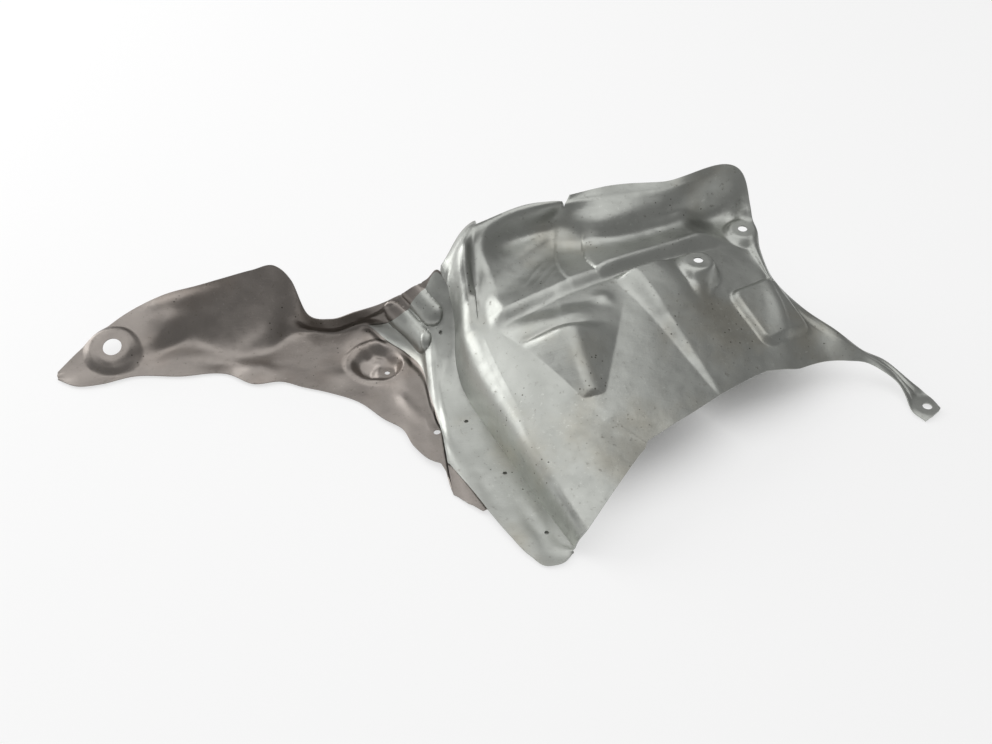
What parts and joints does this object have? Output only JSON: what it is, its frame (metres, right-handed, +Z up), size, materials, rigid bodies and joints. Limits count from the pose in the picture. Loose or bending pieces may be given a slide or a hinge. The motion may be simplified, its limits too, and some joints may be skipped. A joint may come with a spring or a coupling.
{
  "type": "steering gear heat shield",
  "caption": "Two pressed aluminium sheets, a broad ribbed panel and a long trough-shaped arm, clinched along an overlapped flange.",
  "frame": {"origin": "on the surface that the shield lies on, near the middle of its length", "axes": "+Z up from that surface, +X along the shield from the arm's tip to the strap, +Y from the panel's front corner to its trimmed rear edge"},
  "size_m": [0.6422, 0.314, 0.1126],
  "materials": {
    "panel_aluminium": "dull pressed aluminium, lightly stained",
    "arm_aluminium": "dull pressed aluminium with a warm heat-stained cast"
  },
  "bodies": {
    "root": {"main_panel": "panel_aluminium", "side_arm": "arm_aluminium"}
  },
  "joints": []
}
